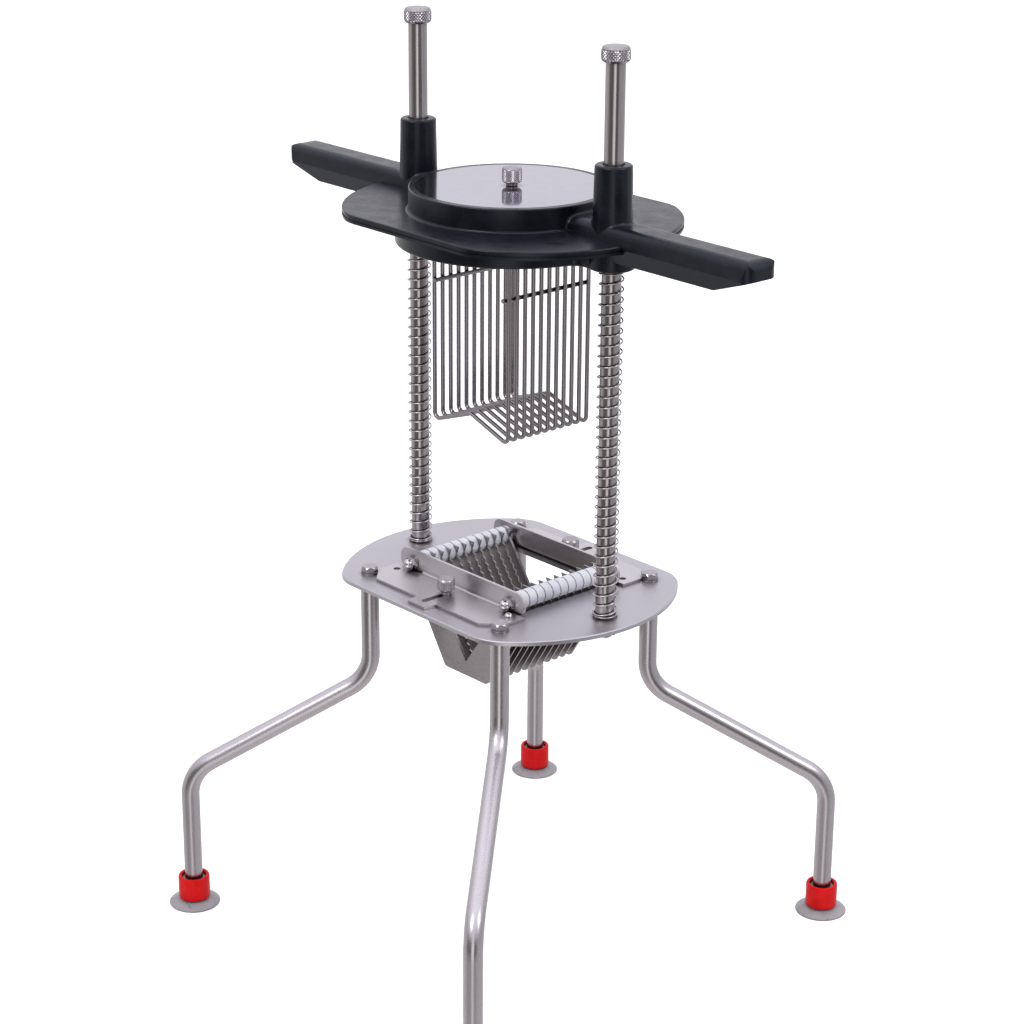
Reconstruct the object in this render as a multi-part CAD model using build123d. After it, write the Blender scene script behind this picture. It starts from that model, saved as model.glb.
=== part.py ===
from build123d import *
import math
import os

# Push-down dicer on four splayed tube legs.
# Origin on the floor under the middle of the stand, +Z up, X along the handles.
# Every length is in millimetres.

# ---- base plate ----
PLATE_TOP = 258.0
PLATE_T = 3.0
PLATE_BOTTOM = PLATE_TOP - PLATE_T
PLATE_HALF_Y = 90.0
PLATE_END_R = 113.0
PLATE_END_X = 6.0
PLATE_CORNER_R = 30.0
OPENING_HALF_X = 55.5
OPENING_HALF_Y = 41.5
OPENING_CORNER_R = 4.0
EDGE_BREAK = 0.5

# ---- legs and feet ----
TUBE_R = 6.5
TUBE_WALL = 1.2
TUBE_GAP = 0.05
LEG_TOP_X = 68.5
LEG_TOP_Y = 69.5
FOOT_X = 155.0
FOOT_Y = 168.0
LEG_KNEE_Z = 180.0
LEG_ANKLE_Z = 104.0
LEG_BEND_R = 30.0
TUBE_END_Z = 6.2
INSERT_LENGTH = 20.0
CUP_R = 18.3
CUP_LIP = 0.8
CUP_FLANGE_Z = 4.0
CUP_HOLLOW_R = 15.5
CUP_HOLLOW_Z = 1.8
CUP_NECK_R = 8.6
CUP_TOP = 19.5
SOCKET_FLOOR = 6.0
COLLAR_R = 11.3
COLLAR_BORE_R = 8.75
COLLAR_BOTTOM = 4.6
COLLAR_TOP = 22.0
COLLAR_RIM_R = 0.6

# ---- screws that hold the legs ----
M6_SHANK_R = 2.95
M6_HOLE_R = 3.3
M6_THREAD_R = 3.0
M6_HEX = 10.0
M6_HEAD = 4.2
HEX_TURN = 0.6
M6_BOLT_LENGTH = 21.0
WASHER_R = 6.0
WASHER_T = 1.2

# ---- guide rods ----
ROD_X = 96.0
ROD_R = 6.5
ROD_TOP = 629.9
SPIGOT_R = 5.0
SPIGOT_BOTTOM = 244.0
ROD_NUT_HEX = 17.0
ROD_NUT_H = 8.0
CAP_PIN_R = 4.0
CAP_PIN_TOP = 637.0
CAP_BORE_TOP = 637.5
CAP_R = 9.5
CAP_BOTTOM = 630.0
CAP_TOP = 640.0
CAP_CHAMFER = 1.3
PIN_GAP = 0.06

# ---- springs ----
COIL_R = 7.9
WIRE_R = 0.55
SPRING_TURNS = 34

# ---- pusher head ----
HEAD_BOTTOM = 498.0
FLANGE_TOP = 519.0
FLANGE_T = 5.5
FLANGE_HALF_Y = 92.0
FLANGE_END_R = 100.0
FLANGE_END_X = 20.0
FLANGE_CORNER_R = 30.0
FLANGE_RIM_R = 1.2
GROOVE_BOTTOM = 515.3
GROOVE_TOP = 516.8
GROOVE_DEPTH = 0.8
SKIRT_R = 77.5
SKIRT_WALL = 3.0
SKIRT_RIM_R = 1.5
WEB_HALF_W = 13.0
WEB_BLEND_R = 9.0
RING_R = 68.6
RING_TOP = 535.0
RING_RIM_R = 1.0
ROOT_R = 2.0
SNAP = 0.1
RECESS_R = 63.9
LEDGE_R = 60.0
LID_R = 63.5
LID_T = 1.5
FLOOR_T = 3.0
BOSS_TOP = 565.5
BOSS_TOP_R = 12.25
BOSS_WAIST_R = 13.2
BOSS_FOOT_R = 15.0
BOSS_RIM_R = 1.6
BOSS_MOUTH_R = 7.25
BUSH_R = 8.0
BUSH_TOP = 562.0
BUSH_BORE_R = 6.56
HANDLE_HALF_W = 14.0
HANDLE_CROWN = 528.5
HANDLE_SPLIT = 516.5
HANDLE_BASE = 505.5
HANDLE_BASE_HALF_W = 10.0
HANDLE_ROOT_X = 65.0
HANDLE_TIP_X = 227.0
HANDLE_RAMP_X = 195.0
HANDLE_LIP = 0.5
HANDLE_CORNER_R = 8.0
HANDLE_NOSE_R = 7.0
HANDLE_TOP_HALF_W = 12.2
HANDLE_SHOULDER_R = 6.5
STUD_R = 2.95
LID_HOLE_R = 3.3
KNOB_R = 6.7
KNOB_BOTTOM = 537.3
KNOB_TOP = 547.3
KNOB_NECK_R = 3.9
KNOB_BORE_TOP = 544.0
KNOB_CHAMFER = 0.8
LID_STUD_TOP = 543.0

# ---- comb ----
PITCH = 7.1
COMB_WIRES = 11
COMB_R = 1.5
COMB_HALF_X = 37.5
COMB_CORNER_Z = 371.5
COMB_PEAK_Z = 384.6
COMB_CORNER_R = 4.0
CROSS_ROD_Z = 470.0
CROSS_ROD_OVERHANG = 1.5
CARRIER_HALF_X = 45.0
CARRIER_HALF_Y = 45.0
CARRIER_T = 4.0
CARRIER_CORNER_R = 8.0

# ---- blade cassette ----
TIE_X = 50.3
TIE_Z = 265.0
TIE_R = 2.5
TIE_HALF_L = 49.0
SPACER_R = 6.25
SPACER_BORE_R = 2.6
EYE_R = 6.0
DOME_WASHER_R = 5.0
DOME_WASHER_T = 1.0
DOME_HEX = 8.0
DOME_HEX_H = 3.6
DOME_R = 3.7
DOME_SPARE = 0.2
BLADE_COUNT = 10
BLADE_T = 1.0
END_PLATE_T = 2.0
BLADE_SIDE_X = 54.3
BLADE_KINK_Z = 244.5
BLADE_CORNER_X = 22.0
BLADE_BOTTOM = 194.4
BLADE_CORNER_R = 4.0
VEE_APEX_Z = 204.5
VEE_TOP_X = 43.6
VEE_TOP_Z = 265.5
TOOTH_COUNT = 15
TOOTH_ROOT = 0.6
TOOTH_TIP = 1.1
HORN_X = 41.6
HORN_Z = 270.6
HORN_FLAT = 3.0
BLADE_SIDE_TOP = 263.0

# ---- brackets ----
SHEET = 2.0
WALL_Y = 42.5
WALL_TOP = 274.0
WALL_HALF_X = 64.5
WALL_CORNER_R = 7.5
WALL_LIFT = 0.4
BEND_HALF_X = 40.5
BEND_R = 1.6
FOOT_PLATE_HALF_X = 66.5
FOOT_PLATE_Y = 75.5
FOOT_PLATE_CHAMFER = 12.8
TAB_Y = 84.5
TAB_ROOT_HALF = 10.5
TAB_TIP_HALF = 8.5
SLOT_HALF = 2.4
SLOT_START_Y = 54.0
SLOT_END_Y = 79.0
CLAMP_Y = 58.0
CLAMP_STEM_R = 2.25
CLAMP_HOLE_R = 2.3
CLAMP_NECK_R = 3.6
CLAMP_HEAD_R = 6.2
CLAMP_HEAD_BOTTOM = 262.8
CLAMP_HEAD_TOP = 271.8
CLAMP_CHAMFER = 1.0
CLAMP_STEM_BOTTOM = 249.0
STUD_X = 58.5
STUD_Y = 53.0
STUD_HOLE_R = 2.5
STUD_SHANK_R = 2.45
STUD_HEAD_R = 3.0
STUD_TAIL = 2.0

CORNERS = {"front": (1, -1), "right": (1, 1), "back": (-1, 1), "left": (-1, -1)}
SIDES = {"left": -1, "right": 1}


def tube_at(x, y, bottom, top, outer, inner=0.0):
    """Upright cylinder, bored when inner is given."""
    height = top - bottom
    body = Pos(x, y, bottom) * Cylinder(outer, height, align=(Align.CENTER, Align.CENTER, Align.MIN))
    if inner:
        body -= Pos(x, y, bottom) * Cylinder(inner, height, align=(Align.CENTER, Align.CENTER, Align.MIN))
    return body


def cone_at(x, y, bottom, top, bottom_r, top_r):
    """Upright cone."""
    return Pos(x, y, bottom) * Cone(bottom_r, top_r, top - bottom, align=(Align.CENTER, Align.CENTER, Align.MIN))


def rod_along_y(x, z, start, end, outer, inner=0.0):
    """Round bar lying along Y from start to end."""
    ring = Circle(outer)
    if inner:
        ring -= Circle(inner)
    plane = Plane(origin=(x, start, z), x_dir=(1, 0, 0), z_dir=(0, 1, 0))
    return extrude(plane * ring, amount=end - start)


def hex_prism(x, y, bottom, top, across_flats):
    """Upright hexagon prism."""
    outline = RegularPolygon(across_flats / 2, 6, major_radius=False)
    return extrude(Pos(x, y, bottom) * outline, amount=top - bottom)


def slab(sketch, bottom, top):
    """Flat plate between two heights."""
    return extrude(Pos(0, 0, bottom) * sketch, amount=top - bottom)


def sheet_across_y(points, middle_y, thickness):
    """Plate standing in the X-Z plane, centred on middle_y."""
    plane = Plane(origin=(0, middle_y - thickness / 2, 0), x_dir=(1, 0, 0), z_dir=(0, -1, 0))
    face = make_face(Polyline(points, close=True).edges())
    return extrude(plane * face, amount=-thickness)


def bulged_outline(half_y, end_r, end_x, corner_r):
    """Outline with straight long sides and ends bulging outward."""
    box = Rectangle(2 * (end_r + end_x), 2 * half_y)
    right_end = Pos(end_x, 0) * Circle(end_r)
    left_end = Pos(-end_x, 0) * Circle(end_r)
    middle = Rectangle(2 * end_x, 2 * end_r)
    lens = right_end + left_end + middle
    outline = (box & lens).face()
    return fillet(outline.vertices(), corner_r)


def make_base_plate():
    plate = slab(bulged_outline(PLATE_HALF_Y, PLATE_END_R, PLATE_END_X, PLATE_CORNER_R), PLATE_BOTTOM, PLATE_TOP)
    rim = plate.edges().filter_by(lambda e: abs(e.center().Z - PLATE_TOP) < 0.01)
    plate = chamfer(rim, EDGE_BREAK)
    opening = fillet(Rectangle(2 * OPENING_HALF_X, 2 * OPENING_HALF_Y).vertices(), OPENING_CORNER_R)
    plate -= slab(opening, PLATE_BOTTOM, PLATE_TOP)
    for sx, sy in CORNERS.values():
        plate -= tube_at(sx * LEG_TOP_X, sy * LEG_TOP_Y, PLATE_BOTTOM, PLATE_TOP, M6_HOLE_R)
        plate -= tube_at(sx * STUD_X, sy * STUD_Y, PLATE_BOTTOM, PLATE_TOP, STUD_HOLE_R)
    for side in SIDES.values():
        plate -= tube_at(side * ROD_X, 0, PLATE_BOTTOM, PLATE_TOP, SPIGOT_R + PIN_GAP)
        plate -= tube_at(0, side * CLAMP_Y, PLATE_BOTTOM, PLATE_TOP, CLAMP_HOLE_R)
    return plate


def leg_path(sx, sy):
    """Centre line of one bent leg."""
    top = (sx * LEG_TOP_X, sy * LEG_TOP_Y, PLATE_BOTTOM)
    knee = (sx * LEG_TOP_X, sy * LEG_TOP_Y, LEG_KNEE_Z)
    ankle = (sx * FOOT_X, sy * FOOT_Y, LEG_ANKLE_Z)
    end = (sx * FOOT_X, sy * FOOT_Y, TUBE_END_Z)
    return FilletPolyline(top, knee, ankle, end, radius=LEG_BEND_R)


def make_leg(sx, sy):
    path = leg_path(sx, sy)
    ring = Circle(TUBE_R) - Circle(TUBE_R - TUBE_WALL)
    start = Plane(origin=path @ 0, z_dir=path % 0)
    return sweep(start * ring, path=path)


def make_leg_inserts():
    """Threaded plugs inside the tops of the legs."""
    outer = TUBE_R - TUBE_WALL - TUBE_GAP
    bottom = PLATE_BOTTOM - INSERT_LENGTH
    plugs = []
    for sx, sy in CORNERS.values():
        plugs.append(tube_at(sx * LEG_TOP_X, sy * LEG_TOP_Y, bottom, PLATE_BOTTOM, outer, M6_THREAD_R))
    return Compound(plugs)


def make_leg_bolts():
    bolts = []
    seat = PLATE_TOP + WASHER_T
    for sx, sy in CORNERS.values():
        x = sx * LEG_TOP_X
        y = sy * LEG_TOP_Y
        turned = cone_at(x, y, seat, seat + M6_HEAD, M6_HEX / 2 + M6_HEAD * HEX_TURN, M6_HEX / 2)
        head = hex_prism(x, y, seat, seat + M6_HEAD, M6_HEX) & turned
        bolts.append(head + tube_at(x, y, seat - M6_BOLT_LENGTH, seat, M6_SHANK_R))
    return Compound(bolts)


def make_leg_washers():
    rings = []
    for sx, sy in CORNERS.values():
        x = sx * LEG_TOP_X
        y = sy * LEG_TOP_Y
        rings.append(tube_at(x, y, PLATE_TOP, PLATE_TOP + WASHER_T, WASHER_R, M6_HOLE_R))
    return Compound(rings)


def make_cup(sx, sy):
    """Suction cup with the socket that takes the end of the tube."""
    profile = [
        (0, SOCKET_FLOOR), (TUBE_R + TUBE_GAP, SOCKET_FLOOR), (TUBE_R + TUBE_GAP, CUP_TOP),
        (CUP_NECK_R, CUP_TOP), (CUP_NECK_R, CUP_FLANGE_Z), (CUP_R, CUP_LIP), (CUP_R, 0),
        (CUP_HOLLOW_R, 0), (COLLAR_BORE_R, CUP_HOLLOW_Z), (0, CUP_HOLLOW_Z),
    ]
    face = Plane.XZ * make_face(Polyline(profile, close=True).edges())
    return Pos(sx * FOOT_X, sy * FOOT_Y, 0) * revolve(face, axis=Axis.Z)


def make_collar(sx, sy):
    collar = tube_at(sx * FOOT_X, sy * FOOT_Y, COLLAR_BOTTOM, COLLAR_TOP, COLLAR_R, COLLAR_BORE_R)
    rims = collar.edges().filter_by(GeomType.CIRCLE).group_by(Axis.Z)
    return fillet(rims[-1] + rims[0], COLLAR_RIM_R)


def make_guide_rod(side):
    x = side * ROD_X
    rod = tube_at(x, 0, PLATE_TOP, ROD_TOP, ROD_R)
    rod += tube_at(x, 0, SPIGOT_BOTTOM, PLATE_TOP, SPIGOT_R)
    rod += tube_at(x, 0, ROD_TOP, CAP_PIN_TOP, CAP_PIN_R)
    return rod


def make_rod_nuts():
    nuts = []
    for side in SIDES.values():
        nut = hex_prism(side * ROD_X, 0, PLATE_BOTTOM - ROD_NUT_H, PLATE_BOTTOM, ROD_NUT_HEX)
        nuts.append(nut - tube_at(side * ROD_X, 0, PLATE_BOTTOM - ROD_NUT_H, PLATE_BOTTOM, SPIGOT_R + PIN_GAP))
    return Compound(nuts)


def make_rod_cap(side):
    x = side * ROD_X
    cap = tube_at(x, 0, CAP_BOTTOM, CAP_TOP, CAP_R)
    rims = cap.edges().filter_by(GeomType.CIRCLE)
    cap = chamfer(rims, CAP_CHAMFER)
    return cap - tube_at(x, 0, CAP_BOTTOM, CAP_BORE_TOP, CAP_PIN_R + PIN_GAP)


def make_spring(side):
    """Compression spring around a guide rod."""
    x = side * ROD_X
    low = PLATE_TOP + WIRE_R
    high = HEAD_BOTTOM - WIRE_R
    coil = Helix(pitch=(high - low) / SPRING_TURNS, height=high - low, radius=COIL_R)
    section = Plane(origin=coil @ 0, z_dir=coil % 0) * Circle(WIRE_R)
    return Pos(x, 0, low) * sweep(section, path=coil, is_frenet=True)


def handle_plan(margin):
    """Outline of a handle seen from above, drawn for the +X side."""
    length = HANDLE_TIP_X - margin - HANDLE_ROOT_X
    middle = HANDLE_ROOT_X + length / 2
    bar = Rectangle(length, 2 * (HANDLE_HALF_W - margin))
    tip = bar.vertices().group_by(Axis.X)[-1]
    return Pos(middle, 0) * fillet(tip, HANDLE_CORNER_R - margin)


def handle_upper():
    """Crowned upper half of a handle with a rounded nose."""
    corners = [
        (-HANDLE_HALF_W, HANDLE_SPLIT), (-HANDLE_TOP_HALF_W, HANDLE_CROWN),
        (HANDLE_TOP_HALF_W, HANDLE_CROWN), (HANDLE_HALF_W, HANDLE_SPLIT),
    ]
    crown = make_face(Polyline(corners, close=True).edges())
    crown = fillet(crown.vertices().group_by(Axis.Y)[-1], HANDLE_SHOULDER_R)
    root = Plane(origin=(HANDLE_ROOT_X, 0, 0), x_dir=(0, 1, 0), z_dir=(1, 0, 0))
    upper = extrude(root * crown, amount=HANDLE_TIP_X - HANDLE_ROOT_X)
    upper &= slab(handle_plan(0), HANDLE_SPLIT, HANDLE_CROWN)
    middle = (HANDLE_TIP_X + HANDLE_ROOT_X) / 2, (HANDLE_CROWN + HANDLE_SPLIT) / 2
    side_view = Rectangle(HANDLE_TIP_X - HANDLE_ROOT_X, HANDLE_CROWN - HANDLE_SPLIT)
    top_corner = side_view.vertices().sort_by(Axis.X)[-2:].sort_by(Axis.Y)[-1]
    side_view = Pos(*middle) * fillet(top_corner, HANDLE_NOSE_R)
    return upper & extrude(Plane.XZ * side_view, amount=2 * HANDLE_HALF_W, both=True)


def handle_lower():
    """Tapered lower half of a handle with a ramp under the tip."""
    half = HANDLE_HALF_W - HANDLE_LIP
    points = [
        (-half, HANDLE_SPLIT), (half, HANDLE_SPLIT),
        (HANDLE_BASE_HALF_W, HANDLE_BASE), (-HANDLE_BASE_HALF_W, HANDLE_BASE),
    ]
    root = Plane(origin=(HANDLE_ROOT_X, 0, 0), x_dir=(0, 1, 0), z_dir=(1, 0, 0))
    section = make_face(Polyline(points, close=True).edges())
    lower = extrude(root * section, amount=HANDLE_TIP_X - HANDLE_ROOT_X)
    lower &= slab(handle_plan(HANDLE_LIP), HANDLE_BASE, HANDLE_SPLIT)
    past_tip = HANDLE_TIP_X + HANDLE_LIP
    ramp = [(HANDLE_RAMP_X, HANDLE_BASE), (past_tip, HANDLE_BASE), (past_tip, HANDLE_SPLIT)]
    wedge = make_face(Polyline(ramp, close=True).edges())
    return lower - extrude(Plane.XZ * wedge, amount=2 * HANDLE_HALF_W, both=True)


def rounded_post(x, bottom, top, bottom_r, top_r, rim_r):
    """Upright post, straight or tapered, with a rounded top rim."""
    if bottom_r == top_r:
        post = tube_at(x, 0, bottom, top, top_r)
    else:
        post = cone_at(x, 0, bottom, top, bottom_r, top_r)
    rim = post.edges().filter_by(GeomType.CIRCLE).group_by(Axis.Z)[-1]
    return fillet(rim, rim_r)


def boss_roots(bar):
    """Curves where the boss rises from the crown of its handle."""
    found = []
    for edge in bar.edges():
        box = edge.bounding_box()
        across = [math.hypot(v.X - ROD_X, v.Y) for v in edge.vertices()]
        on_boss = all(BOSS_TOP_R < r < BOSS_WAIST_R + SNAP for r in across)
        if on_boss and box.min.Z > FLANGE_TOP + SNAP and box.max.Z < HANDLE_CROWN + SNAP:
            found.append(edge)
    return found


def handle_solid(side):
    """One handle with the boss that rides on the guide rod."""
    bar = handle_upper() + handle_lower()
    bar += rounded_post(ROD_X, FLANGE_TOP, BOSS_TOP, BOSS_WAIST_R, BOSS_TOP_R, BOSS_RIM_R)
    bar = fillet(boss_roots(bar), ROOT_R)
    if side < 0:
        bar = bar.rotate(Axis.Z, 180)
    return bar


def make_flange():
    """Broad plate of the head with a groove round its edge."""
    outline = bulged_outline(FLANGE_HALF_Y, FLANGE_END_R, FLANGE_END_X, FLANGE_CORNER_R)
    flange = slab(outline, FLANGE_TOP - FLANGE_T, FLANGE_TOP)
    rim = flange.edges().filter_by(lambda e: abs(e.center().Z - FLANGE_TOP) < 0.01)
    flange = fillet(rim, FLANGE_RIM_R)
    inner = offset(outline, -GROOVE_DEPTH)
    return flange - slab(outline - inner, GROOVE_BOTTOM, GROOVE_TOP)


def make_skirt():
    """Lower body: the round skirt and the feet of the two bosses, blended in plan."""
    plan = Circle(SKIRT_R) + Rectangle(2 * ROD_X, 2 * WEB_HALF_W)
    inside = [v for v in plan.vertices() if abs(v.X) < ROD_X - 1]
    plan = fillet(inside, WEB_BLEND_R)
    for side in SIDES.values():
        plan += Pos(side * ROD_X, 0) * Circle(BOSS_FOOT_R)
    skirt = slab(plan, HEAD_BOTTOM, FLANGE_TOP - FLOOR_T)
    rim = skirt.edges().filter_by(lambda e: abs(e.center().Z - HEAD_BOTTOM) < 0.01)
    return fillet(rim, SKIRT_RIM_R)


def ring_roots(head):
    """Curves where the ring rises from the flange and the handles."""
    found = []
    for edge in head.edges():
        box = edge.bounding_box()
        reach = min(math.hypot(v.X, v.Y) for v in edge.vertices())
        level = box.min.Z > FLANGE_TOP - SNAP and box.max.Z < HANDLE_CROWN + SNAP
        if level and abs(reach - RING_R) < SNAP and edge.geom_type != GeomType.LINE:
            found.append(edge)
    return found


def make_pusher_head():
    floor_bottom = FLANGE_TOP - FLOOR_T
    head = make_flange() + make_skirt()
    head += rounded_post(0, floor_bottom, RING_TOP, RING_R, RING_R, RING_RIM_R)
    for side in SIDES.values():
        head += handle_solid(side)
    head = fillet(ring_roots(head), ROOT_R)
    head -= tube_at(0, 0, HEAD_BOTTOM, floor_bottom, SKIRT_R - SKIRT_WALL)
    head -= tube_at(0, 0, FLANGE_TOP, RING_TOP, LEDGE_R)
    head -= tube_at(0, 0, RING_TOP - LID_T, RING_TOP, RECESS_R)
    head -= tube_at(0, 0, floor_bottom, FLANGE_TOP, LID_HOLE_R)
    for side in SIDES.values():
        head -= tube_at(side * ROD_X, 0, HEAD_BOTTOM, BUSH_TOP, BUSH_R)
        head -= tube_at(side * ROD_X, 0, BUSH_TOP, BOSS_TOP, BOSS_MOUTH_R)
    return head


def make_guide_bushes():
    bushes = []
    for side in SIDES.values():
        bushes.append(tube_at(side * ROD_X, 0, HEAD_BOTTOM, BUSH_TOP, BUSH_R, BUSH_BORE_R))
    return Compound(bushes)


def make_lid_disc():
    return tube_at(0, 0, RING_TOP - LID_T, RING_TOP, LID_R, LID_HOLE_R)


def carrier_bottom():
    return FLANGE_TOP - FLOOR_T - CARRIER_T


def make_comb_carrier():
    """Plate under the floor of the head that holds the comb wires."""
    plate = Rectangle(2 * CARRIER_HALF_X, 2 * CARRIER_HALF_Y)
    return slab(fillet(plate.vertices(), CARRIER_CORNER_R), carrier_bottom(), FLANGE_TOP - FLOOR_T)


def make_lid_stud():
    return tube_at(0, 0, FLANGE_TOP - FLOOR_T, LID_STUD_TOP, STUD_R)


def make_lid_knob():
    knob = tube_at(0, 0, KNOB_BOTTOM, KNOB_TOP, KNOB_R)
    knob = chamfer(knob.edges().filter_by(GeomType.CIRCLE), KNOB_CHAMFER)
    knob += tube_at(0, 0, RING_TOP, KNOB_BOTTOM, KNOB_NECK_R)
    return knob - tube_at(0, 0, RING_TOP, KNOB_BORE_TOP, STUD_R + PIN_GAP)


def comb_rows():
    first = -(COMB_WIRES - 1) / 2 * PITCH
    return [first + i * PITCH for i in range(COMB_WIRES)]


def make_comb_wires():
    """Bent wires: two long shanks joined by a shallow peak."""
    wires = []
    top = carrier_bottom()
    for y in comb_rows():
        points = [
            (-COMB_HALF_X, y, top), (-COMB_HALF_X, y, COMB_CORNER_Z), (0, y, COMB_PEAK_Z),
            (COMB_HALF_X, y, COMB_CORNER_Z), (COMB_HALF_X, y, top),
        ]
        path = FilletPolyline(points, radius=COMB_CORNER_R)
        section = Plane(origin=path @ 0, z_dir=path % 0) * Circle(COMB_R)
        wires.append(sweep(section, path=path))
    return Compound(wires)


def make_comb_cross_rods():
    reach = (COMB_WIRES - 1) / 2 * PITCH + COMB_R + CROSS_ROD_OVERHANG
    rods = []
    for side in SIDES.values():
        x = side * (COMB_HALF_X - 2 * COMB_R)
        rods.append(rod_along_y(x, CROSS_ROD_Z, -reach, reach, COMB_R))
    return Compound(rods)


def blade_rows():
    first = -(BLADE_COUNT - 1) / 2 * PITCH
    return [first + i * PITCH for i in range(BLADE_COUNT)]


def end_plate_y():
    return (BLADE_COUNT + 1) / 2 * PITCH


def vee_edge(toothed):
    """Right-hand cutting edge from the apex up to the horn beside the tie rod."""
    rise = VEE_TOP_Z - VEE_APEX_Z
    length = math.hypot(VEE_TOP_X, rise)
    normal = (rise / length, -VEE_TOP_X / length)
    points = [(0.0, VEE_APEX_Z)]
    steps = 2 * TOOTH_COUNT if toothed else 1
    for i in range(1, steps):
        shift = TOOTH_TIP if i % 2 else -TOOTH_ROOT
        x = VEE_TOP_X * i / steps + shift * normal[0]
        z = VEE_APEX_Z + rise * i / steps + shift * normal[1]
        points.append((x, z))
    points.append((VEE_TOP_X, VEE_TOP_Z))
    points.append((HORN_X, HORN_Z))
    points.append((TIE_X - HORN_FLAT, HORN_Z))
    return points


def blade_plate(middle_y, thickness, toothed):
    right = vee_edge(toothed)
    right += [(TIE_X, TIE_Z), (BLADE_SIDE_X, BLADE_SIDE_TOP), (BLADE_SIDE_X, BLADE_KINK_Z)]
    right += [(BLADE_CORNER_X, BLADE_BOTTOM)]
    left = [(-x, z) for x, z in reversed(right[1:])]
    plate = sheet_across_y(right + left, middle_y, thickness)
    corners = plate.edges().filter_by(Axis.Y).group_by(Axis.Z)[0]
    plate = fillet(corners, BLADE_CORNER_R)
    start = middle_y - thickness / 2
    for side in SIDES.values():
        plate += rod_along_y(side * TIE_X, TIE_Z, start, start + thickness, EYE_R)
    for side in SIDES.values():
        plate -= rod_along_y(side * TIE_X, TIE_Z, start, start + thickness, SPACER_BORE_R)
    return plate


def make_tie_rods():
    return Compound([rod_along_y(s * TIE_X, TIE_Z, -TIE_HALF_L, TIE_HALF_L, TIE_R) for s in SIDES.values()])


def spacer_gaps():
    """Start and end of every free length on a tie rod."""
    plates = [(-end_plate_y(), END_PLATE_T)]
    plates += [(y, BLADE_T) for y in blade_rows()]
    plates += [(end_plate_y(), END_PLATE_T)]
    gaps = []
    start = -WALL_Y
    for y, thickness in plates:
        gaps.append((start, y - thickness / 2))
        start = y + thickness / 2
    gaps.append((start, WALL_Y))
    return gaps


def make_spacers(side):
    rings = [rod_along_y(side * TIE_X, TIE_Z, a, b, SPACER_R, SPACER_BORE_R) for a, b in spacer_gaps()]
    return Compound(rings)


def bracket_foot():
    """Flat part of a bracket, drawn for the +Y side."""
    inner = WALL_Y + SHEET + BEND_R
    x = FOOT_PLATE_HALF_X
    y = FOOT_PLATE_Y
    cut = FOOT_PLATE_CHAMFER
    right = [
        (x, inner), (x, y - cut), (x - cut, y), (TAB_ROOT_HALF, y),
        (TAB_TIP_HALF, TAB_Y),
    ]
    left = [(-px, py) for px, py in reversed(right)]
    foot = make_face(Polyline(right + left, close=True).edges())
    slot = Pos(0, (SLOT_START_Y + SLOT_END_Y) / 2) * SlotOverall(SLOT_END_Y - SLOT_START_Y, 2 * SLOT_HALF, rotation=90)
    foot -= slot
    for side in SIDES.values():
        foot -= Pos(side * STUD_X, STUD_Y) * Circle(STUD_HOLE_R)
    return slab(foot, PLATE_TOP, PLATE_TOP + SHEET)


def bracket_bend():
    """Quarter bend that joins the flat part to the wall."""
    outer = BEND_R + SHEET
    centre = (WALL_Y + outer, PLATE_TOP + outer)
    ring = Pos(*centre) * (Circle(outer) - Circle(BEND_R))
    quarter = ring & Pos(centre[0] - outer / 2, centre[1] - outer / 2) * Rectangle(outer, outer)
    plane = Plane(origin=(-BEND_HALF_X, 0, 0), x_dir=(0, 1, 0), z_dir=(1, 0, 0))
    return extrude(plane * quarter, amount=2 * BEND_HALF_X)


def bracket_wall():
    """Upright part with rounded ears around the tie rods."""
    outer = BEND_R + SHEET
    height = WALL_TOP - PLATE_TOP - WALL_LIFT
    outline = Pos(0, PLATE_TOP + WALL_LIFT + height / 2) * RectangleRounded(2 * WALL_HALF_X, height, WALL_CORNER_R)
    outline -= Pos(0, PLATE_TOP + outer / 2) * Rectangle(2 * BEND_HALF_X, outer)
    for side in SIDES.values():
        outline -= Pos(side * TIE_X, TIE_Z) * Circle(SPACER_BORE_R)
    plane = Plane(origin=(0, WALL_Y, 0), x_dir=(1, 0, 0), z_dir=(0, -1, 0))
    return extrude(plane * outline, amount=-SHEET)


def make_bracket(side):
    bracket = bracket_foot() + bracket_bend() + bracket_wall()
    if side < 0:
        bracket = bracket.rotate(Axis.Z, 180)
    return bracket


def make_dome_washers():
    rings = []
    for side in SIDES.values():
        for end in SIDES.values():
            near = end * (WALL_Y + SHEET)
            far = end * (WALL_Y + SHEET + DOME_WASHER_T)
            low, high = min(near, far), max(near, far)
            rings.append(rod_along_y(side * TIE_X, TIE_Z, low, high, DOME_WASHER_R, SPACER_BORE_R))
    return Compound(rings)


def make_dome_nuts():
    """Cap nuts on the four ends of the tie rods."""
    seat = WALL_Y + SHEET + DOME_WASHER_T
    hexagon = RegularPolygon(DOME_HEX / 2, 6, major_radius=False)
    plane = Plane(origin=(0, seat, 0), x_dir=(1, 0, 0), z_dir=(0, 1, 0))
    nut = extrude(plane * hexagon, amount=DOME_HEX_H)
    nut += Pos(0, seat + DOME_HEX_H, 0) * Sphere(DOME_R)
    nut -= rod_along_y(0, 0, 0, seat, 2 * SPACER_R)
    nut -= rod_along_y(0, 0, seat, TIE_HALF_L + DOME_SPARE, TIE_R + PIN_GAP)
    nuts = []
    for side in SIDES.values():
        for turn in (0, 180):
            nuts.append(Pos(side * TIE_X, 0, TIE_Z) * nut.rotate(Axis.Z, turn))
    return Compound(nuts)


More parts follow.
